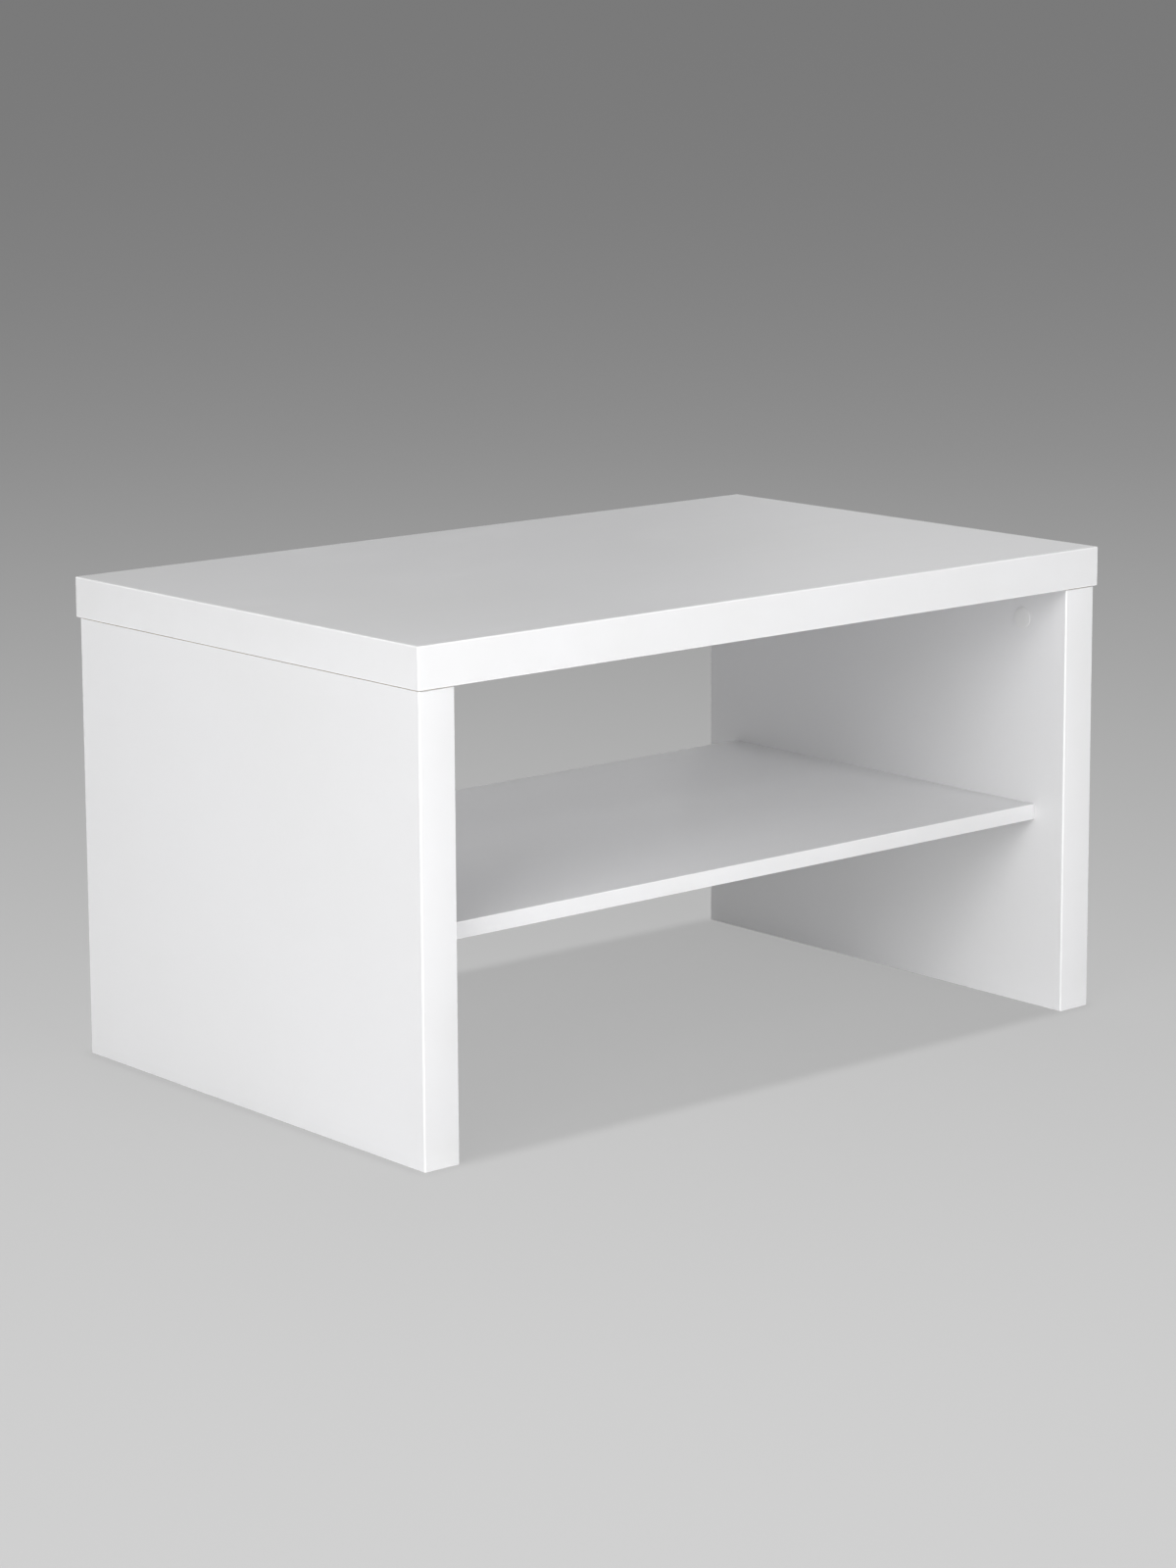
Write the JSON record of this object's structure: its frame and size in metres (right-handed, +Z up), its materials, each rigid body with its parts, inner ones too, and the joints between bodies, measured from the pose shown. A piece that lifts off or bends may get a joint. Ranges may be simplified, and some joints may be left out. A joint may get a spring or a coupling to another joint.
{
  "type": "coffee table",
  "caption": "Low white slab table: thick top on two full-depth side panels, with a thin shelf set back between them, held by cam locks, cam bolts and dowels.",
  "frame": {"origin": "on the floor, under the middle of the table", "axes": "+X along the table, front towards -Y, +Z up"},
  "size_m": [0.88, 0.54, 0.48],
  "materials": {
    "melamine_board": "white melamine-faced particleboard, satin",
    "edge_band": "white plastic edge band, satin",
    "cover_cap": "white moulded plastic, satin",
    "cam_zinc": "die-cast zinc",
    "bolt_steel": "zinc-plated steel",
    "beech_dowel": "bare beech"
  },
  "bodies": {
    "table": {"top_board": "melamine_board", "left_panel_board": "melamine_board", "right_panel_board": "melamine_board", "shelf_board": "melamine_board", "top_band_front": "edge_band", "top_band_back": "edge_band", "top_band_left": "edge_band", "top_band_right": "edge_band", "left_panel_band_front": "edge_band", "left_panel_band_back": "edge_band", "left_panel_band_foot": "edge_band", "right_panel_band_front": "edge_band", "right_panel_band_back": "edge_band", "right_panel_band_foot": "edge_band", "shelf_band_front": "edge_band", "shelf_band_back": "edge_band", "bolt_top_left_front": "bolt_steel", "bolt_top_left_back": "bolt_steel", "bolt_top_right_front": "bolt_steel", "bolt_top_right_back": "bolt_steel", "bolt_shelf_left_front": "bolt_steel", "bolt_shelf_left_back": "bolt_steel", "bolt_shelf_right_front": "bolt_steel", "bolt_shelf_right_back": "bolt_steel", "dowel_top_left_front": "beech_dowel", "dowel_top_left_back": "beech_dowel", "dowel_top_right_front": "beech_dowel", "dowel_top_right_back": "beech_dowel", "dowel_shelf_left_front": "beech_dowel", "dowel_shelf_left_back": "beech_dowel", "dowel_shelf_right_front": "beech_dowel", "dowel_shelf_right_back": "beech_dowel"},
    "cam_top_left_front": {"cam_top_left_front": "cam_zinc", "cap_left_front": "cover_cap"},
    "cam_top_left_back": {"cam_top_left_back": "cam_zinc", "cap_left_back": "cover_cap"},
    "cam_top_right_front": {"cam_top_right_front": "cam_zinc", "cap_right_front": "cover_cap"},
    "cam_top_right_back": {"cam_top_right_back": "cam_zinc", "cap_right_back": "cover_cap"},
    "cam_shelf_left_front": {"cam_shelf_left_front": "cam_zinc"},
    "cam_shelf_left_back": {"cam_shelf_left_back": "cam_zinc"},
    "cam_shelf_right_front": {"cam_shelf_right_front": "cam_zinc"},
    "cam_shelf_right_back": {"cam_shelf_right_back": "cam_zinc"}
  },
  "joints": [
    {"name": "cam_top_left_front_turn", "type": "hinge", "parent": "table", "child": "cam_top_left_front", "pos_m": [-0.397, -0.207, 0.404], "axis": [1, 0, 0], "range_deg": [0, 200]},
    {"name": "cam_top_left_back_turn", "type": "hinge", "parent": "table", "child": "cam_top_left_back", "pos_m": [-0.397, 0.207, 0.404], "axis": [1, 0, 0], "range_deg": [0, 200]},
    {"name": "cam_top_right_front_turn", "type": "hinge", "parent": "table", "child": "cam_top_right_front", "pos_m": [0.397, -0.207, 0.404], "axis": [-1, 0, 0], "range_deg": [0, 200]},
    {"name": "cam_top_right_back_turn", "type": "hinge", "parent": "table", "child": "cam_top_right_back", "pos_m": [0.397, 0.207, 0.404], "axis": [-1, 0, 0], "range_deg": [0, 200]},
    {"name": "cam_shelf_left_front_turn", "type": "hinge", "parent": "table", "child": "cam_shelf_left_front", "pos_m": [-0.361, -0.167, 0.196], "axis": [0, 0, -1], "range_deg": [0, 200]},
    {"name": "cam_shelf_left_back_turn", "type": "hinge", "parent": "table", "child": "cam_shelf_left_back", "pos_m": [-0.361, 0.167, 0.196], "axis": [0, 0, -1], "range_deg": [0, 200]},
    {"name": "cam_shelf_right_front_turn", "type": "hinge", "parent": "table", "child": "cam_shelf_right_front", "pos_m": [0.361, -0.167, 0.196], "axis": [0, 0, -1], "range_deg": [0, 200]},
    {"name": "cam_shelf_right_back_turn", "type": "hinge", "parent": "table", "child": "cam_shelf_right_back", "pos_m": [0.361, 0.167, 0.196], "axis": [0, 0, -1], "range_deg": [0, 200]}
  ]
}
